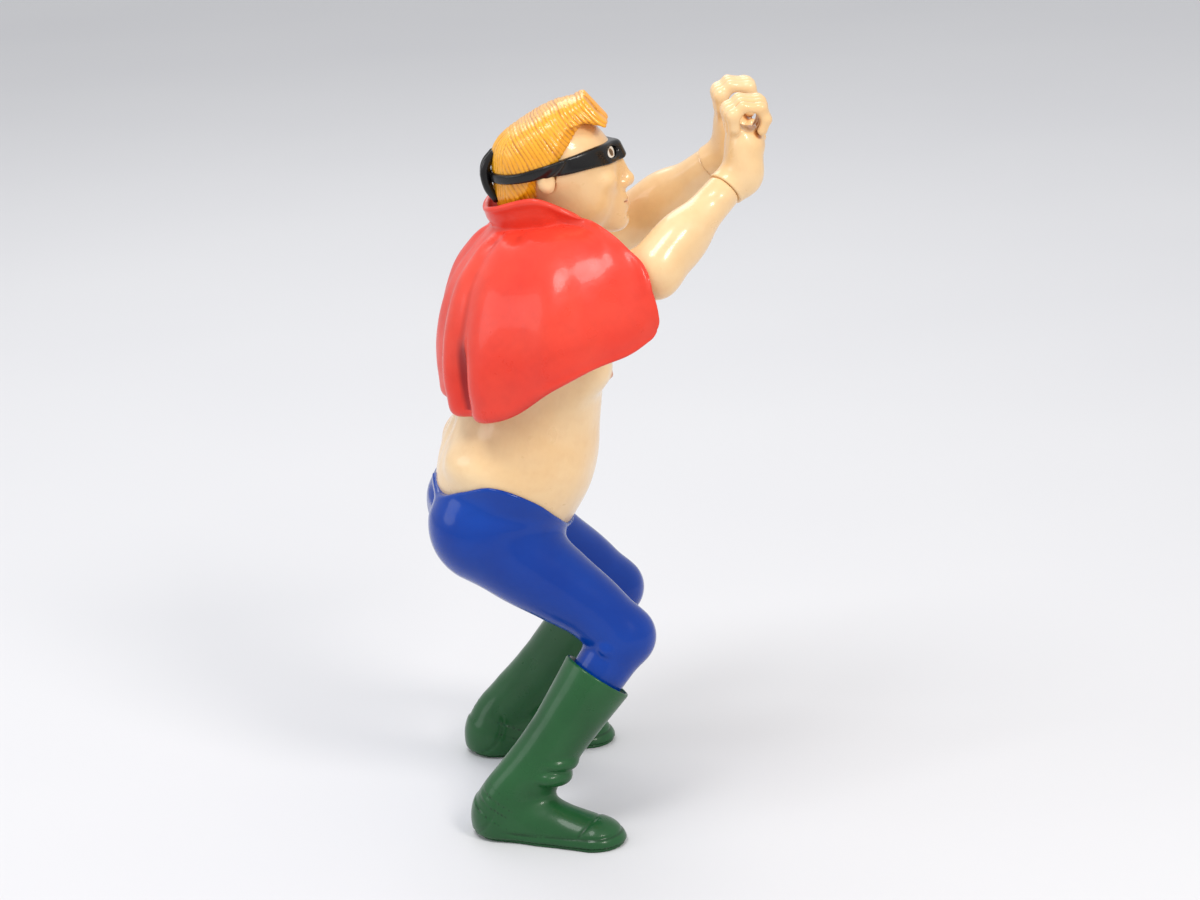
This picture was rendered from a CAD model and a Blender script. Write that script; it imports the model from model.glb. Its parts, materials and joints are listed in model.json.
"""Looks of a caped strongman figurine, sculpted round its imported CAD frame.

The sculpting is done in millimetres with distance fields: a field is a function of points that is
negative inside the shape. Each piece is one field, meshed on a grid and then drawn onto its surface.
Limbs, boots and hands take their places from the frame's joints and boxes. The surfaces of the torso,
tights, head, mask, hair and cape are set by hand, in the frame's own millimetres.
"""

import json
import math

import bpy
import mathutils
import numpy as np
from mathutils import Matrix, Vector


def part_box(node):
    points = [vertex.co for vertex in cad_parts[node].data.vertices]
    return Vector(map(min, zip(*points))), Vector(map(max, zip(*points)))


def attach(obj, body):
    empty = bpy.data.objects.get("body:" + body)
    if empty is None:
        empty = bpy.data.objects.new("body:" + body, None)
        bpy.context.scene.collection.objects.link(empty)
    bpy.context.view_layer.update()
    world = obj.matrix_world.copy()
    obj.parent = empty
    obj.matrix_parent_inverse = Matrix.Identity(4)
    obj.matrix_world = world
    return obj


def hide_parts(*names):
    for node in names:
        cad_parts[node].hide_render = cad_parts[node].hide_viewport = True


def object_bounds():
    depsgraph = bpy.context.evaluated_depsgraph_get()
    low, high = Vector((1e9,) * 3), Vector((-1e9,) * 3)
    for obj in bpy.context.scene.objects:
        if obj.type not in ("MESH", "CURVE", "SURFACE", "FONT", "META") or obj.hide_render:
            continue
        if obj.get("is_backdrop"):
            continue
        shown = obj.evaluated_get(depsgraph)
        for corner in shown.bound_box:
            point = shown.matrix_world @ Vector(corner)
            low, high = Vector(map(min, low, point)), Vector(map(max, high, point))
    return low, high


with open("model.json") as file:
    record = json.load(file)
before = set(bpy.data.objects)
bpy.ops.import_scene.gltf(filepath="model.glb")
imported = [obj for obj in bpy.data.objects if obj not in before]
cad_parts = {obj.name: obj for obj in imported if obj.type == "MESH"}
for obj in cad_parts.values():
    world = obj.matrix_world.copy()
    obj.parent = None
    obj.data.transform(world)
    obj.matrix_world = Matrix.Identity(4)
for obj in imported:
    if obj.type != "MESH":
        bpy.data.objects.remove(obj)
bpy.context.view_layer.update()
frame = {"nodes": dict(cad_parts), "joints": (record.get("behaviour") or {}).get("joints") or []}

MM = 0.001
JOINTS = {j["name"]: np.array(j["pos_m"]) / MM for j in frame["joints"]}
SIDES = {"right": -1.0, "left": 1.0}


def corners(node):
    low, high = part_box(node)
    return np.array(low) / MM, np.array(high) / MM


def middle(node):
    low, high = corners(node)
    return (low + high) / 2


def vec(*values):
    return np.array(values, float)


# ---------------------------------------------------------------- fields


def length(v):
    return np.sqrt((v * v).sum(-1))


def join(a, b, k=0.0):
    """Union, rounded over k without a visible start of the rounding."""
    if k == 0:
        return np.minimum(a, b)
    h = np.clip(1.5 * k - np.abs(a - b), 0, None) / (1.5 * k)
    return np.minimum(a, b) - h**3 * k / 4


def common(a, b, k=0.0):
    """Intersection, rounded over k."""
    return -join(-a, -b, k)


def carve(a, b, k=0.0):
    """a without b, rounded over k."""
    return common(a, -b, k)


def turned(angles):
    """Rotation matrix from degrees about X, then Y, then Z."""
    x, y, z = (math.radians(a) for a in angles)
    rx = np.array([[1, 0, 0], [0, math.cos(x), -math.sin(x)], [0, math.sin(x), math.cos(x)]])
    ry = np.array([[math.cos(y), 0, math.sin(y)], [0, 1, 0], [-math.sin(y), 0, math.cos(y)]])
    rz = np.array([[math.cos(z), -math.sin(z), 0], [math.sin(z), math.cos(z), 0], [0, 0, 1]])
    return rz @ ry @ rx


def egg(p, centre, radii, angles=(0, 0, 0)):
    """Ellipsoid."""
    q = (p - np.asarray(centre)) @ turned(angles)
    radii = np.asarray(radii, float)
    k0 = length(q / radii)
    k1 = length(q / radii**2)
    return k0 * (k0 - 1) / np.maximum(k1, 1e-6)


def along(p, a, b):
    """How far each point is along a to b, from 0 to 1, unclamped."""
    ab = b - a
    return (p - a) @ ab / (ab @ ab)


def limb(p, a, b, ra, rb):
    """Round bar with domed ends."""
    t = np.clip(along(p, a, b), 0, 1)
    return length(p - a - t[:, None] * (b - a)) - (ra + (rb - ra) * t)


def chain(p, points, radii, k):
    d = None
    for a, b, ra, rb in zip(points[:-1], points[1:], radii[:-1], radii[1:]):
        part = limb(p, a, b, ra, rb)
        d = part if d is None else join(d, part, k)
    return d


def spline(rows, u, v):
    """Smooth surface through a table of points at parameters u (row) and v (column)."""

    def weights(where, count):
        i = np.clip(where.astype(int), 0, count - 2)
        t = where - i
        w = 0.5 * np.stack(
            [-t + 2 * t**2 - t**3, 2 - 5 * t**2 + 3 * t**3, t + 4 * t**2 - 3 * t**3, t**3 - t**2], -1
        )
        return i, w

    rows = np.concatenate([2 * rows[:1] - rows[1:2], rows, 2 * rows[-1:] - rows[-2:-1]])
    if rows.shape[1] == 1:
        rows = np.repeat(rows, 2, 1)
    rows = np.concatenate([2 * rows[:, :1] - rows[:, 1:2], rows, 2 * rows[:, -1:] - rows[:, -2:-1]], 1)
    i, wu = weights(u, rows.shape[0] - 2)
    j, wv = weights(v, rows.shape[1] - 2)
    total = 0
    for a in range(4):
        for b in range(4):
            total = total + rows[i + a, j + b] * (wu[:, a] * wv[:, b])[:, None]
    return total


def tube(p, points, radii):
    """Round bar along a smooth curve, with a smoothly changing radius."""
    path = np.column_stack([np.array(points, float), radii])
    path = np.concatenate([2 * path[:1] - path[1:2], path, 2 * path[-1:] - path[-2:-1]])
    a, b, c, d = path[:-3], path[1:-2], path[2:-1], path[3:]
    terms = np.stack([b, (c - a) / 2, a - 2.5 * b + 2 * c - d / 2, (3 * b - a - 3 * c + d) / 2], 1)
    count = len(terms)

    def at(t):
        i = np.clip(t.astype(int), 0, count - 1)
        u = (t - i)[:, None]
        k = terms[i]
        place = k[:, 0] + u * (k[:, 1] + u * (k[:, 2] + u * k[:, 3]))
        return place, k[:, 1] + u * (2 * k[:, 2] + 3 * u * k[:, 3])

    # the nearest of a few samples, then drawn onto the nearest point of the curve
    t = np.zeros(len(p))
    nearest = np.full(len(p), np.inf)
    for sample in np.linspace(0, count, 6 * count + 1):
        far = length(p - at(np.array([sample]))[0][0, :3])
        t = np.where(far < nearest, sample, t)
        nearest = np.minimum(far, nearest)
    for _ in range(3):
        place, run = at(t)
        run = run[:, :3]
        t = np.clip(t + ((p - place[:, :3]) * run).sum(-1) / (run * run).sum(-1), 0, count)
    place, _ = at(t)
    return length(p - place[:, :3]) - place[:, 3]


def half(p, point, normal):
    """Half space behind a plane."""
    normal = np.asarray(normal, float)
    return (p - np.asarray(point)) @ (normal / np.linalg.norm(normal))


def smooth_table(x, xs, ys):
    """Monotone-ish cubic interpolation through a table."""
    xs = np.asarray(xs, float)
    ys = np.asarray(ys, float)
    slopes = np.gradient(ys, xs)
    i = np.clip(np.searchsorted(xs, x) - 1, 0, len(xs) - 2)
    span = xs[i + 1] - xs[i]
    t = np.clip((x - xs[i]) / span, 0, 1)
    a, b = ys[i], ys[i + 1]
    ma, mb = slopes[i] * span, slopes[i + 1] * span
    return (
        a * (2 * t**3 - 3 * t**2 + 1)
        + ma * (t**3 - 2 * t**2 + t)
        + b * (-2 * t**3 + 3 * t**2)
        + mb * (t**3 - t**2)
    )


def stack(p, levels):
    """Body made of level ellipses: (x, z, half depth, half width) from the bottom up."""
    table = np.array(levels, float)
    z = p[:, 2]
    x0, a, b = (smooth_table(z, table[:, 1], table[:, c]) for c in (0, 2, 3))
    u, v = p[:, 0] - x0, p[:, 1]
    k0 = np.sqrt((u / a) ** 2 + (v / b) ** 2)
    k1 = np.sqrt((u / a**2) ** 2 + (v / b**2) ** 2)
    d = k0 * (k0 - 1) / np.maximum(k1, 1e-6)
    ends = np.maximum(table[0, 1] - z, z - table[-1, 1])
    return common(d, ends, 3.0)


def both(p, field):
    """A field of the right half, used on both sides."""
    q = p.copy()
    q[:, 1] = -np.abs(q[:, 1])
    return field(q)


def ripple(p, seed, size):
    """Soft, repeatable waviness between -1 and 1, from a few crossed sine waves."""
    rng = np.random.default_rng(seed)
    total = np.zeros(len(p))
    for _ in range(6):
        direction = rng.normal(size=3)
        direction *= rng.uniform(0.6, 1.5) / np.linalg.norm(direction)
        total += np.sin(p @ direction * (2 * math.pi / size) + rng.uniform(0, 6.28))
    return total / 6


# ---------------------------------------------------------------- meshing


def grow(coarse, factor):
    """Trilinear refinement of a grid of node values."""
    for axis in range(3):
        n = coarse.shape[axis] - 1
        pos = np.arange(n * factor + 1) / factor
        i = np.minimum(pos.astype(int), n - 1)
        w = (pos - i).reshape([-1 if a == axis else 1 for a in range(3)])
        coarse = np.take(coarse, i, axis) * (1 - w) + np.take(coarse, i + 1, axis) * w
    return coarse


def evaluate(field, points, batch=250000):
    return np.concatenate([field(points[i : i + batch]) for i in range(0, len(points), batch)])


def surface(field, low, high, cell):
    """Vertices and quads of the zero surface, on a grid that is fine only near it."""
    factor = 4
    low = np.asarray(low, float) - 2 * cell
    count = np.ceil((np.asarray(high, float) + 2 * cell - low) / (cell * factor)).astype(int)
    axes = [low[a] + np.arange(count[a] + 1) * cell * factor for a in range(3)]
    nodes = np.stack(np.meshgrid(*axes, indexing="ij"), -1)
    coarse = evaluate(field, nodes.reshape(-1, 3)).reshape(nodes.shape[:3])
    values = grow(coarse, factor)
    near = np.argwhere(np.abs(values) < cell * factor * 1.6)
    values[tuple(near.T)] = evaluate(field, low + near * cell)
    values[values == 0] = 1e-9
    inside = values < 0

    corner = [(x, y, z) for x in (0, 1) for y in (0, 1) for z in (0, 1)]
    trimmed = [slice(0, s - 1) for s in inside.shape]
    filled = sum(
        inside[tuple(slice(c[a], inside.shape[a] - 1 + c[a]) for a in range(3))].astype(np.int8)
        for c in corner
    )
    active = np.argwhere((filled > 0) & (filled < 8))
    index = np.full([s.stop for s in trimmed], -1)
    index[tuple(active.T)] = np.arange(len(active))
    total = np.zeros((len(active), 3))
    hits = np.zeros(len(active))
    for i, a in enumerate(corner):
        for b in corner[i + 1 :]:
            if sum(abs(a[n] - b[n]) for n in range(3)) != 1:
                continue
            va = values[tuple((active + a).T)]
            vb = values[tuple((active + b).T)]
            cross = (va < 0) != (vb < 0)
            t = np.where(cross, va / np.where(cross, va - vb, 1), 0)
            point = np.array(a) + t[:, None] * (np.array(b) - np.array(a))
            total += point * cross[:, None]
            hits += cross
    verts = low + (active + total / hits[:, None]) * cell

    quads = []
    for axis in range(3):
        b, c = [n for n in range(3) if n != axis]
        lo = [slice(None)] * 3
        hi = [slice(None)] * 3
        lo[axis], hi[axis] = slice(0, -1), slice(1, None)
        first, second = inside[tuple(lo)], inside[tuple(hi)]
        for flip, found in ((False, first & ~second), (True, ~first & second)):
            cells = np.argwhere(found)
            ring = []
            for db, dc in ((0, 0), (-1, 0), (-1, -1), (0, -1)):
                around = cells.copy()
                around[:, b] += db
                around[:, c] += dc
                ring.append(index[tuple(around.T)])
            quad = np.stack(ring, -1)
            if flip != (axis == 1):
                quad = quad[:, ::-1]
            quads.append(quad[:, ::-1])
    quads = np.concatenate(quads)
    for _ in range(4):
        d, g = gradient(field, verts)
        step = (d / np.maximum((g * g).sum(-1), 0.05))[:, None] * g
        size = np.maximum(length(step), 1e-9)[:, None]
        verts -= step * np.minimum(1, 0.5 * cell / size)
    return verts, quads


def gradient(field, points, eps=0.04):
    d = evaluate(field, points)
    g = np.zeros_like(points)
    for axis in range(3):
        shift = np.zeros(3)
        shift[axis] = eps
        ahead = evaluate(field, points + shift)
        behind = evaluate(field, points - shift)
        g[:, axis] = (ahead - behind) / (2 * eps)
    return d, g


def hollows(field, verts, reach):
    """0 on open surface, up to 1 in a crease: how much of the shape stands in front of each vertex."""
    _, g = gradient(field, verts)
    normal = g / np.maximum(length(g), 1e-6)[:, None]
    ahead = evaluate(field, verts + normal * reach)
    return np.clip(1 - ahead / (reach * np.maximum(length(g), 1e-6)), 0, 1)


def mesh_object(name, verts, faces, attributes=None):
    mesh = bpy.data.meshes.new(name)
    mesh.vertices.add(len(verts))
    mesh.vertices.foreach_set("co", (np.asarray(verts) * MM).astype(np.float32).ravel())
    faces = np.asarray(faces)
    mesh.loops.add(faces.size)
    mesh.loops.foreach_set("vertex_index", faces.ravel().astype(np.int32))
    mesh.polygons.add(len(faces))
    mesh.polygons.foreach_set("loop_start", (np.arange(len(faces)) * faces.shape[1]).astype(np.int32))
    mesh.polygons.foreach_set("use_smooth", np.ones(len(faces), bool))
    mesh.update(calc_edges=True)
    mesh.validate()
    for key, values in (attributes or {}).items():
        layer = mesh.attributes.new(key, "FLOAT", "POINT")
        layer.data.foreach_set("value", np.asarray(values, np.float32))
    obj = bpy.data.objects.new(name, mesh)
    bpy.context.scene.collection.objects.link(obj)
    return obj


def sculpt(name, field, low, high, cell, material, body, nodes, reach=1.2, paint=None):
    """Meshes a field and puts the piece on its body in place of its CAD nodes."""
    verts, quads = surface(field, low, high, cell)
    attributes = {"hollow": hollows(field, verts, reach)}
    for key, rule in (paint or {}).items():
        attributes[key] = rule(verts)
    obj = mesh_object(name, verts, quads, attributes)
    return dress(obj, material, body, nodes)


def dress(obj, material, body, nodes):
    obj.data.materials.append(material)
    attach(obj, body)
    if nodes:
        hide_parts(*nodes)
    return obj


# ---------------------------------------------------------------- materials


def srgb(hexa):
    values = [int(hexa[i : i + 2], 16) / 255 for i in (0, 2, 4)]
    return [v / 12.92 if v < 0.04045 else ((v + 0.055) / 1.055) ** 2.4 for v in values] + [1]


def paint_material(name, base, deep, light, roughness, coat, marks=(), specular=0.5):
    """Lacquered paint: mottled colour, darker creases, uneven gloss, a faint skin of ripples and specks."""
    mat = bpy.data.materials.new(name)
    mat.use_nodes = True
    nodes, links = mat.node_tree.nodes, mat.node_tree.links
    shader = nodes["Principled BSDF"]
    shader.inputs["IOR"].default_value = 1.5
    shader.inputs["Specular IOR Level"].default_value = specular
    shader.inputs["Coat Weight"].default_value = coat
    shader.inputs["Coat Roughness"].default_value = 0.08
    shader.inputs["Coat IOR"].default_value = 1.5
    place = nodes.new("ShaderNodeTexCoord").outputs["Object"]

    def noise(scale, detail):
        node = nodes.new("ShaderNodeTexNoise")
        node.inputs["Scale"].default_value = scale
        node.inputs["Detail"].default_value = detail
        links.new(place, node.inputs["Vector"])
        return node.outputs["Fac"]

    def spread(value, low, high, to_low, to_high):
        node = nodes.new("ShaderNodeMapRange")
        node.inputs["From Min"].default_value = low
        node.inputs["From Max"].default_value = high
        node.inputs["To Min"].default_value = to_low
        node.inputs["To Max"].default_value = to_high
        links.new(value, node.inputs["Value"])
        return node.outputs["Result"]

    def mix(factor, a, b):
        node = nodes.new("ShaderNodeMix")
        node.data_type = "RGBA"
        links.new(factor, node.inputs[0])
        for socket, value in ((node.inputs[6], a), (node.inputs[7], b)):
            if isinstance(value, (list, tuple)):
                socket.default_value = value
            else:
                links.new(value, socket)
        return node.outputs[2]

    def attribute(key):
        node = nodes.new("ShaderNodeAttribute")
        node.attribute_name = key
        return node.outputs["Fac"]

    colour = mix(spread(noise(38, 4), 0.35, 0.68, 0, 1), base, light)
    colour = mix(spread(noise(300, 3), 0.45, 0.80, 0, 0.10), colour, deep)
    colour = mix(spread(attribute("hollow"), 0.12, 0.75, 0, 0.9), colour, deep)
    for key, tint in marks:
        colour = mix(attribute(key), colour, tint)
    links.new(colour, shader.inputs["Base Color"])
    links.new(spread(noise(160, 5), 0.3, 0.7, roughness * 0.75, roughness * 1.35), shader.inputs["Roughness"])
    fine = nodes.new("ShaderNodeBump")
    fine.inputs["Strength"].default_value = 0.10
    fine.inputs["Distance"].default_value = 0.0003
    links.new(noise(900, 4), fine.inputs["Height"])
    broad = nodes.new("ShaderNodeBump")
    broad.inputs["Strength"].default_value = 0.16
    broad.inputs["Distance"].default_value = 0.0012
    links.new(noise(120, 2), broad.inputs["Height"])
    links.new(fine.outputs["Normal"], broad.inputs["Normal"])
    links.new(broad.outputs["Normal"], shader.inputs["Normal"])
    return mat


SKIN = paint_material(
    "skin_paint", srgb("EFC48A"), srgb("BD7233"), srgb("F4D3A2"), 0.34, 0.5,
    marks=(("blush", srgb("C06A4C")), ("lips", srgb("CC7F66"))),
)
BLUE = paint_material(
    "tights_paint", srgb("023490"), srgb("02246A"), srgb("043E9E"), 0.20, 0.22, specular=0.2
)
GREEN = paint_material("boot_paint", srgb("1B4C27"), srgb("0F2B17"), srgb("235A30"), 0.32, 0.2, specular=0.25)
RED = paint_material("cape_paint", srgb("E23524"), srgb("930D10"), srgb("EA4732"), 0.34, 0.22, specular=0.3)
HAIR = paint_material("hair_paint", srgb("F2A20C"), srgb("C97A06"), srgb("F9B624"), 0.30, 0.45)
BLACK = paint_material("mask_paint", srgb("0A0909"), srgb("040404"), srgb("121010"), 0.26, 0.25, specular=0.3)
WHITE = paint_material(
    "eye_paint", srgb("EFE9DC"), srgb("B9AE9C"), srgb("F7F3EA"), 0.2, 0.8,
    marks=(("iris", srgb("5A3A20")), ("pupil", srgb("120D0A"))),
)

# ---------------------------------------------------------------- torso and tights

SHOULDER_FACE = 21.1
neck_seat = JOINTS["neck_turn"]
neck_axis = vec(*next(j["axis"] for j in frame["joints"] if j["name"] == "neck_turn"))
NIPPLE = vec(3.4, -12.2, 128.6)
TORSO_LEVELS = [
    (-24.0, 80.0, 12.0, 15.0),
    (-24.6, 88.0, 17.8, 22.5),
    (-25.0, 94.0, 21.6, 25.8),
    (-23.6, 102.0, 22.8, 26.8),
    (-20.5, 114.0, 21.0, 25.8),
    (-17.4, 126.0, 19.4, 24.6),
    (-15.0, 139.0, 18.8, 24.2),
    (-12.6, 150.0, 17.6, 23.0),
    (-11.7, 159.0, 14.6, 19.0),
    (-11.5, 167.0, 10.0, 11.5),
]


def body_shape(p):
    """The torso as the tights wrap it."""
    d = stack(p, TORSO_LEVELS)
    handles = both(p, lambda q: egg(q, (-25.5, -14.6, 105.0), (18.0, 12.4, 9.0), (0, 6, 0)))
    return join(d, handles, 6)


def skin_shape(p):
    """The torso without its cut faces."""
    d = body_shape(p)

    def side(q):
        s = egg(q, (-7.4, -10.8, 132.0), (11.4, 11.6, 9.8), (0, 12, -10))
        s = join(s, egg(q, (-25.5, -14.0, 143.0), (9.0, 9.0, 14.0)), 5)
        return join(s, egg(q, (-18.0, -18.6, 130.0), (12.5, 6.2, 15.0), (0, 8, 0)), 6)

    d = join(d, both(p, side), 3.0)
    d = join(d, both(p, lambda q: limb(q, vec(-13.5, -6.0, 164.0), vec(-12.0, -22.0, 157.5), 6.5, 6.5)), 4)
    collarbone = both(p, lambda q: limb(q, vec(1.2, -2.5, 156.6), vec(-3.0, -14.5, 157.6), 1.4, 0.9))
    d = join(d, collarbone, 3)
    d = carve(d, limb(p, vec(-39.8, 0, 140.0), vec(-45.2, 0, 116.0), 2.2, 2.2), 5)
    d = carve(d, limb(p, vec(-45.2, 0, 116.0), vec(-51.0, 0, 103.0), 2.2, 1.8), 5)
    d = carve(d, limb(p, vec(7.0, 0, 138.0), vec(5.4, 0, 125.0), 1.0, 1.8), 3)
    return carve(d, egg(p, (1.9, 0, 104.0), (2.6, 1.1, 1.6)), 1.0)


def torso_field(p):
    d = skin_shape(p)
    d = join(d, both(p, lambda q: length(q - NIPPLE + vec(0.5, 0, 0)) - 1.0), 0.8)
    for side, sign in SIDES.items():
        out = p - JOINTS[f"{side}_shoulder_swing"]
        radial = length(out[:, [0, 2]])
        beyond = np.maximum(SHOULDER_FACE - sign * p[:, 1], radial - 16.4)
        d = carve(d, beyond, 0.8)
    return common(d, half(p, neck_seat, neck_axis), 0.4)


def waist_height(p):
    """Height of the tights' top edge all the way round."""
    angle = np.degrees(np.arctan2(np.abs(p[:, 1]), -(p[:, 0] + 25.0)))
    table = (0, 30, 55, 75, 100, 116, 132, 155, 180)
    heights = (99.4, 96.8, 99.8, 102.2, 97.2, 91.4, 87.2, 85.2, 84.8)
    return smooth_table(angle, table, heights)


def legs_field(p):
    seat = stack(p, [(-30, 68, 5, 7), (-30.6, 75, 12.5, 17), (-31, 82, 16.5, 23), (-29.5, 90, 19.6, 27)])
    d = join(seat, body_shape(p) - 0.9, 3)
    d = join(d, both(p, lambda q: egg(q, (-37.2, -12.4, 86.0), (12.4, 13.4, 13.8), (0, -20, 0))), 4)
    for side, sign in SIDES.items():
        peg = middle(f"{side}_boot_peg")
        knee = vec(corners(f"{side}_leg")[1][0] - 9.3, sign * 21.0, 53.4)
        down = (peg - knee) / length(peg - knee)
        thigh = [
            vec(-31.0, sign * 14.8, 84.5), vec(-24.0, sign * 16.4, 77.6), vec(-13.4, sign * 18.4, 69.4),
            vec(-5.0, sign * 19.9, 62.8), knee + vec(0.2, 0, 0.6),
        ]
        leg = tube(p, thigh, [13.8, 12.9, 10.9, 9.5, 8.9])
        leg = join(leg, egg(p, knee + vec(2.4, 0, 2.2), (7.2, 7.6, 6.4), (0, 50, 0)), 3)
        leg = join(leg, limb(p, knee, peg + down * 4, 8.4, 7.4), 1.6)
        leg = join(leg, egg(p, knee + vec(-4.6, sign * 6.9, -0.4), (2.7, 2.3, 2.1), (0, 40, 0)), 1.2)
        leg = common(leg, half(p, peg + down * 1.5, down))
        d = join(d, leg, 5.0)
    return common(d, p[:, 2] - waist_height(p), 0.7)


sculpt(
    "torso_skin", torso_field, (-48.5, -28, 80), (8, 28, 165), 0.62, SKIN, "body", ["torso"],
    paint={"blush": lambda v: np.clip(1.9 - both(v, lambda q: length(q - NIPPLE)), 0, 1) * 0.8},
)
sculpt(
    "tights", legs_field, (-49.8, -34, 35), (13, 34, 104), 0.6, BLUE, "body",
    ["pelvis", "right_leg", "left_leg"],
)

# ---------------------------------------------------------------- boots

SOLE = 1.0  # how much of the boot's height is the separate sole

for side, sign in SIDES.items():
    low, high = corners(f"{side}_sole")
    heel = middle(f"{side}_weight") * vec(1, 1, 0)
    toe = vec(high[0] - 9.5, low[1] + 9.5 if sign < 0 else high[1] - 9.5, 0)
    peg = middle(f"{side}_boot_peg")
    knee = vec(corners(f"{side}_leg")[1][0] - 9.3, sign * 21.0, 53.4)
    down = (peg - knee) / length(peg - knee)
    rim = peg - down * 3.0
    ankle = knee + down * 46.0
    forward = (toe - heel) / length(toe - heel)
    across = vec(-forward[1], forward[0], 0)
    shin_front = forward - down * (forward @ down)
    shin_front /= length(shin_front)

    def boot_shape(
        p, heel=heel, toe=toe, rim=rim, ankle=ankle, down=down, forward=forward, across=across,
        shin_front=shin_front,
    ):
        d = tube(p, [rim - down * 5, rim + down * 8, ankle - down * 9, ankle], [10.9, 9.6, 8.3, 7.8])
        tendon = [
            ankle - down * 9 - shin_front * 1.2,
            heel + vec(0, 0, 13.0) + forward * 3.0,
            heel + vec(0, 0, 6.8),
        ]
        d = join(d, tube(p, tendon, [6.2, 7.8, 9.1]), 3)
        d = join(d, limb(p, heel + vec(0, 0, 2.4), heel + forward * 10 + vec(0, 0, 2.0), 8.9, 7.9), 4)
        instep, vamp = heel + forward * 6 + vec(0, 0, 6.4), heel + forward * 20 + vec(0, 0, 0.8)
        d = join(d, limb(p, instep, vamp, 7.2, 7.6), 4)
        d = join(d, limb(p, heel + forward * 14 + vec(0, 0, 0.2), toe + vec(0, 0, -1.8), 8.0, 9.3), 3)
        # two soft rolls of leather over the ankle
        bend = ankle - down * 5.0 + shin_front * 6.6
        for shift, size, out in ((0.0, 2.5, 1.3), (-4.4, 2.1, 0.9)):
            middle_at = bend + down * shift + shin_front * out
            arc = [
                middle_at - shin_front * 7.4 + across * 6.9 + down * 3.0,
                middle_at - shin_front * 2.4 + across * 5.0 + down * 1.0,
                middle_at,
                middle_at - shin_front * 2.4 - across * 5.0 + down * 1.0,
                middle_at - shin_front * 7.4 - across * 6.9 + down * 3.0,
            ]
            d = join(d, tube(p, arc, [size * 0.3, size * 0.8, size, size * 0.8, size * 0.3]), 0.9)
        # lines in the leather: heel counter, toe cap, and the welt round the foot
        local = p - heel
        u, v, w = local @ forward, local @ across, local[:, 2]
        cap = (u - length(toe - heel) - 0.6 + 0.05 * v * v) / 0.42
        d = d + 0.30 * np.exp(-(cap**2)) * np.clip((w - 3.4) / 0.8, 0, 1) * np.clip(11 - w, 0, 1)
        counter = (np.sqrt((u + 10.5) ** 2 + (w - 12.5) ** 2) - 11.5) / 0.5
        d = d + 0.30 * np.exp(-(counter**2)) * np.clip((6 - u) / 2, 0, 1) * np.clip((14 - w) / 3, 0, 1)
        welt = (w - 3.1 - 0.02 * np.abs(u - 8)) / 0.36
        d = d + 0.34 * np.exp(-(welt**2)) * np.clip((u - 2) / 4, 0, 1)
        return d + 0.08 * ripple(p, 5, 17.0)

    def boot_field(p, shape=boot_shape, rim=rim, down=down):
        d = common(shape(p), half(p, rim, -down), 0.8)
        t = (p - rim) @ down
        radial = length(p - rim - t[:, None] * down)
        mouth = np.maximum(radial - (9.4 - 0.22 * np.clip(t, 0, 5)), t - 4.0)
        d = carve(d, mouth, 0.6)
        return common(d, SOLE + 0.05 - p[:, 2], 0.5)

    def sole_field(p, heel=heel, toe=toe, forward=forward):
        flat = p * vec(1, 1, 0)
        line = [heel + forward * 0.4, heel * 0.5 + toe * 0.5, toe - forward * 0.2]
        d = chain(flat, line, [8.0, 7.5, 8.4], 3.0)
        return common(d, np.abs(p[:, 2] - SOLE / 2) - SOLE / 2, 0.3)

    low, high = corners(f"{side}_boot")
    sculpt(
        f"{side}_boot_upper", boot_field, low - 3, high + 3, 0.5, GREEN, "body", [f"{side}_boot"],
    )
    low, high = corners(f"{side}_sole")
    sculpt(
        f"{side}_boot_sole", sole_field, low - 0.5, high + 0.5, 0.4, GREEN, "body", [f"{side}_sole"],
        reach=0.8,
    )

# ---------------------------------------------------------------- arms and hands

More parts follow.
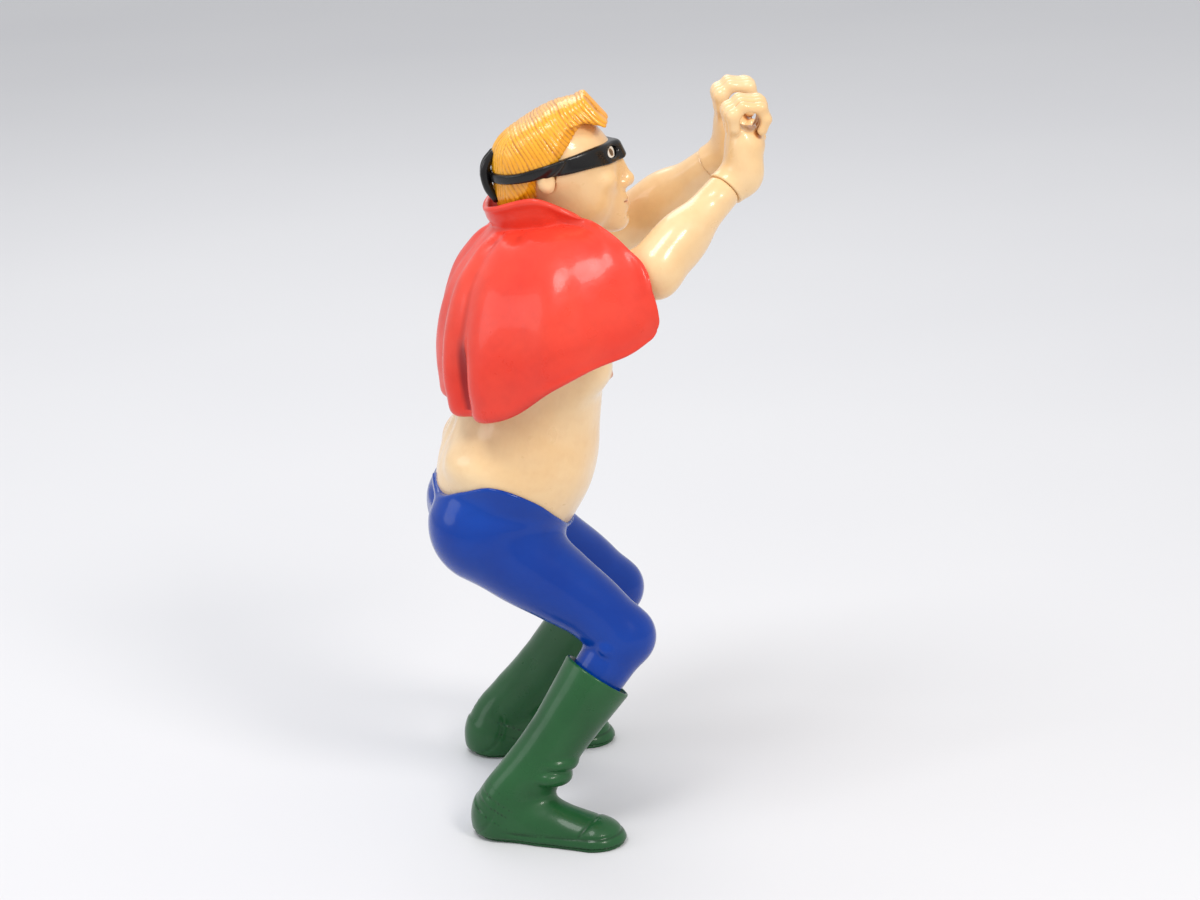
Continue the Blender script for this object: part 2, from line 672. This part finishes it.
for side, sign in SIDES.items():
    shoulder = JOINTS[f"{side}_shoulder_swing"]
    wrist = JOINTS[f"{side}_wrist_turn"]
    elbow = shoulder + vec(24.5, sign * 2.5, 12.0)
    fore = (wrist - elbow) / length(wrist - elbow)
    upper = (elbow - shoulder) / length(elbow - shoulder)
    out = vec(0, sign, 0)
    top = np.cross(fore, out)
    top *= np.sign(top[2]) / length(top)
    fore_turn = (0, -math.degrees(math.asin(fore[2])), math.degrees(math.atan2(fore[1], fore[0])))
    upper_turn = (0, -math.degrees(math.asin(upper[2])), 0)

    def arm_field(
        p, shoulder=shoulder, wrist=wrist, elbow=elbow, fore=fore, upper=upper, out=out, top=top,
        fore_turn=fore_turn, upper_turn=upper_turn,
    ):
        d = egg(p, shoulder + out * 0.2, (10.4, 10.0, 10.4))
        d = join(d, limb(p, shoulder, elbow, 8.2, 6.6), 3)
        biceps = shoulder + upper * 14.5 + vec(-0.4, 0, 2.4) - out * 0.5
        triceps = shoulder + upper * 13.5 + vec(0, 0, -3.2) + out * 0.8
        d = join(d, egg(p, biceps, (10.5, 6.6, 6.6), upper_turn), 2.5)
        d = join(d, egg(p, triceps, (11.0, 6.2, 6.0), upper_turn), 2.5)
        d = join(d, egg(p, elbow + vec(0.6, 0, -0.6), (6.6, 6.8, 6.6)), 3)
        d = join(d, limb(p, elbow, wrist, 6.2, 4.9), 3)
        d = join(d, egg(p, elbow + fore * 9.0 + out * 1.2 + top * 1.5, (12.5, 6.6, 6.1), fore_turn), 2.6)
        d = join(d, egg(p, elbow + fore * 8.6 - out * 1.6 - top * 1.8, (12.0, 6.2, 6.0), fore_turn), 2.6)
        d = join(d, length(p - elbow + fore * 2.6 - out * 1.0 + top * 3.8) - 3.2, 2.6)
        d = join(d, length(p - wrist + fore * 2.4 - out * 3.4) - 1.8, 2.6)
        d = common(d, half(p, wrist, fore), 0.2)
        inner = SHOULDER_FACE + 0.3 - p @ out
        return common(d, np.where((p - elbow) @ upper < 0, inner, -1e3), 0.6)

    low, high = corners(f"{side}_arm")
    sculpt(
        f"{side}_arm_skin", arm_field, low - 1, high + 1, 0.5, SKIN, f"{side}_arm", [f"{side}_arm"]
    )

    low, high = corners(f"{side}_hand")
    grip = vec(high[0] - 7.0, sign * 15.0, high[2] - 7.0)

    def hand_field(p, sign=sign, grip=grip, wrist=wrist, fore=fore):
        palm = vec(grip[0] - 2.2, grip[1], 189.4)
        d = egg(p, palm + vec(-0.1, 0, 1.0), (4.4, 7.4, 10.8), (0, 2, 0))
        d = join(d, egg(p, palm + vec(1.4, sign * 3.4, -3.8), (4.2, 4.0, 6.4), (0, 8, 0)), 2.4)
        d = join(d, egg(p, palm + vec(1.8, -sign * 3.6, -3.6), (4.2, 4.0, 6.2), (0, 8, 0)), 2.4)
        d = join(d, egg(p, palm + vec(2.2, 0, 3.0), (4.4, 6.6, 4.8)), 2.4)
        d = join(d, limb(p, wrist + fore * 0.2, palm + vec(0, 0, -5.6), 5.3, 5.2), 3.2)
        # fingers from the outer, smallest one inward: shift, size, reach of the curl, how far it closes
        fingers = ((5.3, 0.84, 4.45, 4), (1.8, 0.95, 4.75, -4), (-1.8, 1.0, 4.85, -10), (-5.3, 0.95, 4.75, 0))
        for shift, size, reach, closed in fingers:
            y = grip[1] + sign * shift
            points = []
            bends = (
                (202, 1.0), (158, 1.03), (112, 1.0), (50, 1.03), (2 + closed, 0.97), (-42 + closed, 0.92),
            )
            for angle, stretch in bends:
                a = math.radians(angle)
                fan = sign * shift * 0.02 * (angle - 100) / 100
                far = reach * stretch
                points.append(vec(grip[0] + far * math.cos(a), y + fan, grip[2] + far * math.sin(a)))
            radii = [size * r for r in (1.75, 2.1, 1.85, 1.95, 1.8, 1.6)]
            finger = chain(p, points, radii, 0.6)
            finger = join(finger, length(p - points[1] - vec(-0.25, 0, 0.25)) - 2.2 * size, 0.9)
            finger = join(finger, length(p - points[3] - vec(0.1, 0, 0.1)) - 2.05 * size, 0.7)
            root = vec(palm[0] - 2.4, y * 0.55 + grip[1] * 0.45, 190.0)
            tendon = limb(p, points[1] - vec(0.2, 0, 1.0), root, 1.7 * size, 0.9)
            finger = join(finger, tendon, 1.2)
            d = join(d, finger, 0.5)
        thumb = [
            palm + vec(1.2, -sign * 5.0, -5.0), palm + vec(4.0, -sign * 7.4, -0.6),
            palm + vec(6.0, -sign * 6.8, 3.2),
        ]
        d = join(d, chain(p, thumb, [2.6, 2.15, 1.8], 0.8), 1.4)
        d = join(d, length(p - thumb[1]) - 2.35, 0.8)
        radial = length((p - grip)[:, [0, 2]])
        d = carve(d, radial - 2.75, 0.5)
        return common(d, half(p, wrist + fore * 0.12, -fore), 0.2)

    sculpt(
        f"{side}_hand_skin", hand_field, low - 1, high + 1, 0.32, SKIN, f"{side}_hand",
        [f"{side}_hand"], reach=0.9,
    )

# ---------------------------------------------------------------- head

head_low, head_high = corners("head")
EYE = vec(5.2, -4.9, 190.0)
EYE_R = 2.6
SLOPE = (-0.506, 0, 0.863)  # the hair's flat top, rising to the front
FRONT = vec(0.76, 0, 0.65)  # the quiff's front face; the locks run along it
QUIFF = vec(3.2, 0, 202.9)

# heights of the face, divided as drawing textbooks do: the nose ends half-way from brow to chin, and the
# mouth and the hollow under it divide the rest into thirds
BROW, CHIN = EYE[2] + 2.0, 167.0
NOSE_END = (BROW + CHIN) / 2
THIRD = (NOSE_END - CHIN) / 3
MOUTH, LIP_HOLLOW = NOSE_END - THIRD, NOSE_END - 2 * THIRD


def skull(p):
    """Head and neck without the small features."""
    d = egg(p, (-9.0, 0, 187.5), (15.2, 13.5, 14.0))
    d = common(d, half(p, (-14.0, 0, 199.0), SLOPE), 3)
    d = join(d, egg(p, (-2.6, 0, 181.6), (11.4, 10.9, 13.6)), 4)
    d = join(d, both(p, lambda q: egg(q, (-3.0, -6.0, 174.8), (8.8, 4.6, 6.2), (0, -24, -16))), 4)
    d = join(d, egg(p, (4.8, 0, 171.8), (5.9, 5.8, 4.8)), 4)
    d = join(d, both(p, lambda q: egg(q, (3.0, -6.4, 182.4), (4.4, 3.7, 3.6), (0, 0, -30))), 2.6)
    return join(d, limb(p, neck_seat + neck_axis * 0.3, neck_seat + neck_axis * 14, 9.5, 9.3), 2.5)


def bridge(p, spare=0.0):
    return limb(p, vec(7.2, 0, 190.4), vec(10.6, 0, NOSE_END + 2.0), 1.0 + spare, 1.7 + spare)


def head_field(p):
    d = skull(p)
    d = carve(d, both(p, lambda q: egg(q, EYE + vec(2.6, -0.2, 0), (2.4, 3.3, 2.1))), 1.6)
    d = join(d, bridge(p), 1.8)
    d = join(d, length(p - vec(10.9, 0, NOSE_END + 1.8)) - 1.75, 1.2)
    d = join(d, both(p, lambda q: egg(q, (9.3, -1.9, NOSE_END + 1.1), (1.8, 1.2, 1.25))), 0.9)
    d = carve(d, both(p, lambda q: egg(q, (10.2, -1.05, NOSE_END - 0.2), (0.75, 0.45, 0.5))), 0.5)
    # mouth
    d = join(d, egg(p, (6.5, 0, MOUTH + 0.3), (3.4, 5.0, 3.6)), 4)
    d = join(d, both(p, lambda q: egg(q, (9.2, -1.3, MOUTH + 0.8), (1.1, 2.3, 0.75), (0, 0, -14))), 0.6)
    d = join(d, egg(p, (9.1, 0, MOUTH - 0.9), (1.25, 2.9, 0.95)), 0.7)
    slit = np.maximum(np.abs(p[:, 2] - MOUTH - 0.014 * p[:, 1] ** 2) - 0.10, np.abs(p[:, 1]) - 4.0)
    d = carve(d, np.maximum(slit, 7.4 - p[:, 0]), 0.4)
    d = carve(d, limb(p, vec(10.9, 0, NOSE_END - 0.8), vec(10.5, 0, MOUTH + 2.1), 0.45, 0.5), 0.8)
    d = join(d, egg(p, (7.0, 0, CHIN + 2.6), (3.4, 4.2, 2.6)), 2.4)
    d = carve(d, egg(p, (11.4, 0, LIP_HOLLOW + 0.6), (1.6, 3.4, 0.7)), 1.4)

    def ear(q):
        e = egg(q, (-12.3, -13.2, 184.4), (2.5, 2.0, 3.5), (0, -12, -14))
        return carve(e, egg(q, (-11.7, -15.9, 184.9), (1.2, 1.0, 1.9), (0, -12, -14)), 1.0)

    d = join(d, both(p, ear), 0.8)
    d = carve(d, both(p, lambda q: limb(q, vec(-9.7, -13.0, 185.8), vec(-10.3, -12.8, 181.8), 0.2, 0.1)), 0.7)
    return common(d, half(p, neck_seat + neck_axis * 0.3, -neck_axis), 0.4)


HAIR_EDGE = (
    (172, -15.4), (181, -14.8), (184.5, -14.4), (187, -11.0), (191.5, -7.4),
    (194.0, -5.4), (196.6, -3.4), (198.4, -1.0), (199.6, 4.0),
)


def hair_mass(p):
    """The hair's volume without its locks."""
    d = egg(p, (-9.8, 0, 189.4), (16.4, 15.0, 16.2))
    d = common(d, half(p, (-14.0, 0, 200.8), SLOPE), 3)
    nape = [vec(-13.4, 0, 186.0), vec(-14.2, 0, 180.0), vec(-13.6, 0, 173.5)]
    d = join(d, chain(p, nape, [12.3, 11.3, 10.0], 3), 3)
    # thin at the edge beside the face, full behind it
    line = smooth_table(p[:, 2], *zip(*HAIR_EDGE))
    behind = line - p[:, 0]
    d = np.maximum(d, skull(p) - 0.55 - 0.5 * np.clip(behind, 0, None))
    d = common(d, -behind, 0.5)
    # quiff: a wedge with a flat front face that leans back
    y = np.abs(p[:, 1])
    q = p - QUIFF
    wedge_top = half(p, (-1.8, 0, 205.9), (-0.458, 0, 0.889)) + 0.018 * y * y
    wedge = common(q @ FRONT + 0.022 * y * y, wedge_top, 0.9)
    wedge = common(wedge, half(p, (5.8, 0, 198.3), (0.795, 0, -0.606)), 0.9)
    wedge = common(wedge, half(p, (5.0, 0, 197.2), (-0.30, 0, -0.954)), 0.7)
    wedge = common(wedge, 0.94 * (y - 9.4) + 0.34 * (p[:, 2] - 200), 2.2)
    wedge = common(wedge, -16.0 - p[:, 0], 1.0)
    return join(d, wedge, 2.2)


def tufts(phase, share):
    """Depth of the groove at a phase, 1 in its bottom."""
    return (1 - np.abs(np.sin(phase))) ** 2 * share


def hair_field(p):
    d = hair_mass(p)
    pole = p - vec(-50.6, 0, 256.2)
    bend = 0.55 * ripple(p, 3, 16.0) + 0.30 * ripple(p, 8, 8.0)
    slices = 75.0 * np.arctan2(pole[:, 0], -pole[:, 2]) + bend
    around = np.arctan2(p[:, 1], -(p[:, 0] + 12.0))
    falling = 14.0 * around + bend
    # the back is combed downward and the quiff's face forward; between them the locks run in slices
    low_back = 1 - np.clip((np.degrees(np.abs(around)) - 26) / 22, 0, 1)
    low_back *= np.clip((199.5 - p[:, 2]) / 4, 0, 1)
    face = np.clip(((p - QUIFF) @ FRONT + 1.1) / 0.8, 0, 1)
    combed = (1 - low_back) * (1 - face)
    lively = 0.75 + 0.35 * ripple(p, 21, 5.0)
    depth = combed * (tufts(slices * math.pi / 1.15, 0.34) + tufts(slices * math.pi / 2.7 + 0.8, 0.26))
    depth += low_back * (tufts(falling * math.pi / 1.2, 0.34) + tufts(falling * math.pi / 2.8, 0.26))
    depth += face * (1 - low_back) * (tufts((p[:, 1] + 0.5 * bend) * math.pi / 1.4, 0.45))
    d = d + depth * lively
    d = carve(d, skull(p) + 0.8)
    return common(d, 172.8 - p[:, 2], 0.8)


def under_mask(p):
    """What the band is wrapped round."""
    return join(join(hair_mass(p), skull(p), 2.5), bridge(p, 0.4), 3.0)


def mask_field(p):
    x = p[:, 0]
    mid = smooth_table(x, (-30, -18, -6, 6, 12), (183.6, 185.9, 188.6, 190.0, 190.3))
    tall = smooth_table(x, (-30, -18, -6, 6, 12), (1.3, 1.5, 2.3, 2.7, 2.6))
    wave = 0.15 * np.sin(x * 0.4 + 1.0)
    body = under_mask(p)
    d = common(body - 0.95, np.abs(p[:, 2] - mid - wave) - tall, 0.7)
    d = carve(d, body + 0.8)
    d = carve(d, egg(p, (12.0, 0, 186.4), (4.0, 2.4, 1.6)), 0.8)
    return carve(d, both(p, lambda q: egg(q, EYE + vec(2.6, -0.9, 0.1), (6.0, 2.9, 1.45), (8, 0, -30))), 0.5)


def knot_field(p):
    strap = [
        vec(-26.0, -1.5, 190.6), vec(-27.9, -1.7, 187.8), vec(-28.5, -1.8, 184.8), vec(-27.7, -2.3, 181.2),
        vec(-25.9, -2.9, 178.0),
    ]
    d = both(p, lambda q: tube(q, strap, [1.0, 1.3, 1.35, 1.3, 0.9]))
    d = join(d, egg(p, (-28.0, 0, 184.6), (1.9, 2.4, 1.7)), 1.0)
    crease = both(p, lambda q: limb(q, vec(-30.2, -1.3, 185.6), vec(-30.2, -1.3, 183.4), 0.3, 0.3))
    return carve(d, crease, 0.8)


def lips(v):
    near = both(v, lambda q: egg(q, (9.2, -0.6, MOUTH - 0.1), (2.0, 3.3, 1.6)))
    return np.clip(0.4 - near * 1.4, 0, 1) * 0.5


sculpt(
    "head_skin", head_field, head_low - 0.5, head_high + 1, 0.34, SKIN, "head", ["head"],
    reach=0.9, paint={"lips": lips},
)
low, high = corners("hair")
sculpt(
    "hair_locks", hair_field, (low[0] - 1, low[1] - 1, 172), high + 1, 0.32, HAIR, "head", ["hair"],
    reach=0.7,
)
low, high = corners("mask")
sculpt(
    "mask_band", mask_field, low - vec(1.5, 1.5, 4), high + vec(5, 1.5, 2.5), 0.34, BLACK, "head",
    ["mask"], reach=0.8,
)
low, high = corners("mask_knot")
sculpt("mask_knot_tied", knot_field, low - 4, high + 4, 0.22, BLACK, "head", ["mask_knot"], reach=0.6)

for side, sign in SIDES.items():
    centre = EYE * vec(1, -sign, 1)
    gaze = vec(0.94, sign * 0.34, 0.0)

    def disc(v, radius, centre=centre, gaze=gaze):
        q = v - centre
        off = length(q - (q @ gaze)[:, None] * gaze)
        return np.clip((radius - off) * 6, 0, 1) * (q @ gaze > 0)

    def eye_field(p, centre=centre):
        return common(length(p - centre) - EYE_R, under_mask(p) - 0.4, 0.4)

    sculpt(
        f"{side}_eyeball", eye_field, centre - 3, centre + 3, 0.22, WHITE,
        "head", [f"{side}_eye"], reach=0.3,
        paint={"iris": lambda v, disc=disc: disc(v, 1.15), "pupil": lambda v, disc=disc: disc(v, 0.6)},
    )

# ---------------------------------------------------------------- cape

# Profiles of the right half from the middle of the back to the front edge. Each one runs from the
# collar's free edge down its inside, over the shoulder, and down to the hem.
PROFILES = [
    [(-28.8, 0, 176.0), (-28.0, 0, 173), (-26.6, 0, 169.9), (-29.5, 0, 166.5), (-33, 0, 162.5),
     (-37.6, 0, 156.5), (-41, 0, 148.5), (-42.8, 0, 140), (-43, 0, 132), (-41.8, 0, 122.5)],
    [(-26.8, -9.2, 177.4), (-24.9, -8.4, 173.6), (-23.8, -8, 170.2), (-26.5, -10.5, 168), (-30.5, -14.5, 164.5),
     (-34.5, -18.5, 158), (-37, -22, 149), (-38.3, -24.5, 140), (-38.5, -26, 131), (-36.5, -26.5, 122.3)],
    [(-16.5, -15.3, 180.4), (-15, -14.2, 175.5), (-14, -14, 171.5), (-14.5, -18.5, 171.2), (-15.2, -26, 168.8),
     (-16.3, -34, 162.5), (-17, -39.8, 154.5), (-17.3, -42.8, 146.5), (-17, -43.8, 139.5), (-16.5, -43.8, 133.2)],
    [(-8.5, -17, 177.6), (-7.5, -16.2, 174.5), (-6.5, -17.5, 172.6), (-5.5, -22, 172.2), (-5, -29, 170),
     (-4.8, -36, 164.3), (-4.6, -41.5, 156.5), (-4.2, -44.3, 149), (-3.6, -45, 143.5), (-3, -44.8, 139.4)],
    [(0, -23.5, 173.8), (0.6, -26, 173.2), (1.3, -29, 172), (2, -32.5, 170), (2.8, -36.5, 166.5),
     (3.6, -40, 161.5), (4.3, -42.5, 156), (5, -44, 151), (5.5, -44.5, 146.5), (6, -44, 142.4)],
    [(9, -35.5, 168.3), (9.4, -37, 167), (9.8, -38.3, 165.2), (10.2, -39.5, 163), (10.6, -40.6, 160.4),
     (10.9, -41.6, 157.4), (11.2, -42.3, 154.4), (11.4, -42.7, 151.3), (11.6, -42.6, 148.4), (11.8, -42, 145.6)],
    [(12.9, -39.5, 162), (13.3, -40.2, 160.5), (13.7, -40.8, 159), (14.1, -41.2, 157.4), (14.5, -41.5, 155.8),
     (14.8, -41.7, 154), (15, -41.7, 152.2), (15.1, -41.5, 150.5), (15.1, -41.1, 149), (15, -40.6, 147.6)],
]
WALL = 1.5


def round_corner(u, v, last):
    """Pulls the four front corners of the sheet in to arcs."""
    for flip_u, flip_v, ru, rv in ((0, 1, 0.95, 2.8), (1, 1, 0.95, 2.8), (0, 0, 0.7, 3.0), (1, 0, 0.7, 3.0)):
        along_u = last - u if flip_u else u
        along_v = 9 - v if flip_v else v
        a = np.clip(1 - along_u / ru, 0, 1)
        b = np.clip(1 - along_v / rv, 0, 1)
        far = np.maximum(np.maximum(a, b), 1e-9) / np.maximum(np.hypot(a, b), 1e-9)
        along_u = np.where(a * b > 0, (1 - a * far) * ru, along_u)
        along_v = np.where(a * b > 0, (1 - b * far) * rv, along_v)
        u = last - along_u if flip_u else along_u
        v = 9 - along_v if flip_v else along_v
    return u, v


def cape_sheet(across, down):
    """The cape's middle surface with its folds; across from the front edge round the back to the other."""
    half_sheet = np.array(PROFILES)
    other = half_sheet[:0:-1] * vec(1, -1, 1)
    rows = np.concatenate([half_sheet[::-1], other[::-1]])
    u = np.linspace(0, len(rows) - 1, across)
    v = np.linspace(0, 9, down)
    us, vs = np.meshgrid(u, v, indexing="ij")
    us, vs = round_corner(us, vs, len(rows) - 1)
    grid = spline(rows, us.ravel(), vs.ravel()).reshape(across, down, 3)
    du = np.gradient(grid, axis=0)
    dv = np.gradient(grid, axis=1)
    normal = np.cross(du, dv)
    normal /= np.maximum(length(normal), 1e-9)[..., None]
    if (normal * (grid - vec(-10, 0, 150))).sum() < 0:
        normal = -normal
    side = (u - 6)[:, None] * np.ones(down)
    fall = (v / 9)[None, :] * np.ones((across, 1))
    run = np.clip((fall - 0.30) / 0.7, 0, 1) ** 0.8
    # gathers down the back, fanning out from under the collar: where, how wide, how high, and lean
    depth = np.zeros_like(side)
    gathers = (
        (0.93, 0.13, -1.5), (1.22, 0.20, 1.5), (0.62, 0.15, 1.0), (0.30, 0.14, -1.3), (0.0, 0.17, 1.2),
        (-0.34, 0.15, -1.2), (-0.66, 0.16, 1.1), (-0.97, 0.14, -1.5), (-1.26, 0.20, 1.4),
        (1.75, 0.22, -0.5), (-1.75, 0.22, -0.5),
    )
    for at, wide, height in gathers:
        centre = at * (1.18 - 0.18 * run)
        depth += height * run * np.exp(-(((side - centre) / wide) ** 2))
    # one deep pocket each side, closed again at the hem
    pocket = np.exp(-(((fall - 0.86) / 0.11) ** 2)) * np.exp(-(((np.abs(side) - 0.90) / 0.17) ** 2))
    depth -= 4.2 * pocket
    # pinches under the collar
    yoke = np.exp(-(((fall - 0.36) / 0.07) ** 2)) * np.exp(-(((np.abs(side) - 1.2) / 0.7) ** 4))
    depth += 0.55 * yoke * np.sin(np.abs(side) * 11.0)
    depth += 0.18 * np.sin(side * 2.7 + 1.0) * np.sin(fall * 7.0) * run
    hem = np.clip(fall, 0, 1) ** 7
    dip = -2.8 * hem * np.exp(-(((np.abs(side) - 1.55) / 0.38) ** 2))
    grid = grid + normal * depth[..., None]
    grid[..., 2] += dip
    return grid, normal, pocket


def cape_piece(across=300, down=150):
    sheet, normal, pocket = cape_sheet(across, down)
    du = np.gradient(sheet, axis=0)
    dv = np.gradient(sheet, axis=1)
    n = np.cross(du, dv)
    n /= np.maximum(length(n), 1e-9)[..., None]
    n *= np.sign((n * normal).sum(-1, keepdims=True))
    edge = np.minimum(
        np.minimum(np.arange(across), np.arange(across)[::-1])[:, None] * np.ones(down),
        np.minimum(np.arange(down), np.arange(down)[::-1])[None, :] * np.ones((across, 1)),
    )
    bead = WALL / 2 * (1 + 0.25 * np.exp(-(((edge - 4) / 3.0) ** 2)))
    thick = bead * np.sqrt(np.clip(1 - (1 - np.clip(edge / 3.0, 0, 1)) ** 2, 0.02, 1))
    outer = sheet + n * thick[..., None]
    inner = sheet - n * thick[..., None]
    verts = np.concatenate([outer.reshape(-1, 3), inner.reshape(-1, 3)])
    index = np.arange(across * down).reshape(across, down)
    a, b, c, d = index[:-1, :-1], index[1:, :-1], index[1:, 1:], index[:-1, 1:]
    top = np.stack([a, b, c, d], -1).reshape(-1, 4)
    centre = len(top) // 2
    q = top[centre]
    facing = np.cross(verts[q[1]] - verts[q[0]], verts[q[3]] - verts[q[0]]) @ n.reshape(-1, 3)[q[0]]
    if facing < 0:
        top = top[:, ::-1]
    bottom = top[:, ::-1] + across * down
    ring = np.concatenate([index[:, 0], index[-1, 1:], index[-2::-1, -1], index[0, -2:0:-1]])
    nxt = np.roll(ring, -1)
    rim = np.stack([ring, nxt, nxt + across * down, ring + across * down], -1)
    pairs = {(int(f[i]), int(f[(i + 1) % 4])) for f in top for i in range(4)}
    if (int(ring[0]), int(ring[1])) in pairs:
        rim = rim[:, ::-1]
    faces = np.concatenate([top, bottom, rim])
    curve = sum(
        np.roll(sheet, s, axis=ax) for s, ax in ((3, 0), (-3, 0), (3, 1), (-3, 1))
    ) / 4 - sheet
    crease = np.clip((curve * n).sum(-1) * 1.6 + 1.1 * pocket**1.5, 0, 1)
    crease[:4], crease[-4:], crease[:, :4], crease[:, -4:] = 0, 0, 0, 0
    hollow = np.concatenate([crease.ravel(), np.full(crease.size, 0.25)])
    obj = mesh_object("cape_moulded", verts, faces, {"hollow": hollow})
    return dress(obj, RED, "body", ["cape", "collar"])


cape_piece()

# ---------------------------------------------------------------- pegs and weights

PEG = paint_material("peg_plastic", srgb("B9B4A8"), srgb("837E74"), srgb("CDC8BC"), 0.5, 0.0)
IRON = paint_material("weight_iron", srgb("5B5752"), srgb("2F2C29"), srgb("6F6A63"), 0.55, 0.0)
for name, obj in frame["nodes"].items():
    if name.endswith("_peg") or name.endswith("_weight"):
        obj.data.materials.clear()
        obj.data.materials.append(IRON if name.endswith("_weight") else PEG)

# ---------------------------------------------------------------- table, backdrop, light and camera

low, high = (np.array(v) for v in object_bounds())
aim = (low + high) / 2

FLOOR_R, FLOOR_SIDES = 6000, 96  # a disc of 6 m, wide enough that its edge is far off
turns = np.linspace(0, 2 * math.pi, FLOOR_SIDES, endpoint=False)
corners_of_floor = [(0.0, 0.0, 0.0)] + [(FLOOR_R * math.cos(a), FLOOR_R * math.sin(a), 0.0) for a in turns]
slices = [(0, i + 1, (i + 1) % FLOOR_SIDES + 1) for i in range(FLOOR_SIDES)]
floor = mesh_object("tabletop", np.array(corners_of_floor), slices)
paper = bpy.data.materials.new("backdrop_paper")
paper.use_nodes = True
shader = paper.node_tree.nodes["Principled BSDF"]
shader.inputs["Roughness"].default_value = 0.75
grain = paper.node_tree.nodes.new("ShaderNodeTexNoise")
grain.inputs["Scale"].default_value = 60
ramp = paper.node_tree.nodes.new("ShaderNodeMapRange")
tone = paper.node_tree.nodes.new("ShaderNodeMix")
tone.data_type = "RGBA"
tone.inputs[6].default_value = srgb("DEDEE0")
tone.inputs[7].default_value = srgb("D9D9DC")
paper.node_tree.links.new(grain.outputs["Fac"], ramp.inputs["Value"])
paper.node_tree.links.new(ramp.outputs["Result"], tone.inputs[0])
paper.node_tree.links.new(tone.outputs[2], shader.inputs["Base Color"])
floor.data.materials.append(paper)
floor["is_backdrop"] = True


def lamp(name, place, size, watts, colour=(1, 1, 1)):
    data = bpy.data.lights.new(name, "AREA")
    data.shape = "DISK"
    data.size = size
    data.energy = watts
    data.color = colour
    obj = bpy.data.objects.new(name, data)
    bpy.context.scene.collection.objects.link(obj)
    obj.location = place
    direction = mathutils.Vector(aim) - obj.location
    obj.rotation_mode = "QUATERNION"
    obj.rotation_quaternion = direction.to_track_quat("-Z", "Y")
    obj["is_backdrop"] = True


lamp("key", (0.50, -0.70, 0.85), 0.30, 4.4, (1, 0.955, 0.90))
lamp("overhead", (-0.25, -0.30, 0.95), 0.35, 3.0)
lamp("fill", (-0.95, -0.10, 0.50), 0.5, 1.2, (0.95, 0.98, 1))
lamp("rim", (-0.1, 0.7, 0.8), 0.6, 2.0)

world = bpy.data.worlds.new("studio")
bpy.context.scene.world = world
world.use_nodes = True
world.node_tree.nodes["Background"].inputs["Color"].default_value = (0.97, 0.98, 1, 1)
world.node_tree.nodes["Background"].inputs["Strength"].default_value = 0.72
bpy.context.scene.view_settings.view_transform = "Standard"

lens = bpy.data.cameras.new("camera")
camera = bpy.data.objects.new("camera", lens)
bpy.context.scene.collection.objects.link(camera)
bpy.context.scene.camera = camera
camera.location = (-0.0487, -0.8679, 0.3695)
camera.rotation_mode = "QUATERNION"
towards = (mathutils.Vector(aim) - camera.location).to_track_quat("-Z", "Y")
camera.rotation_quaternion = towards @ mathutils.Quaternion((0, 0, 1), math.radians(-2.5))
lens.lens = 96
lens.clip_start = 0.01
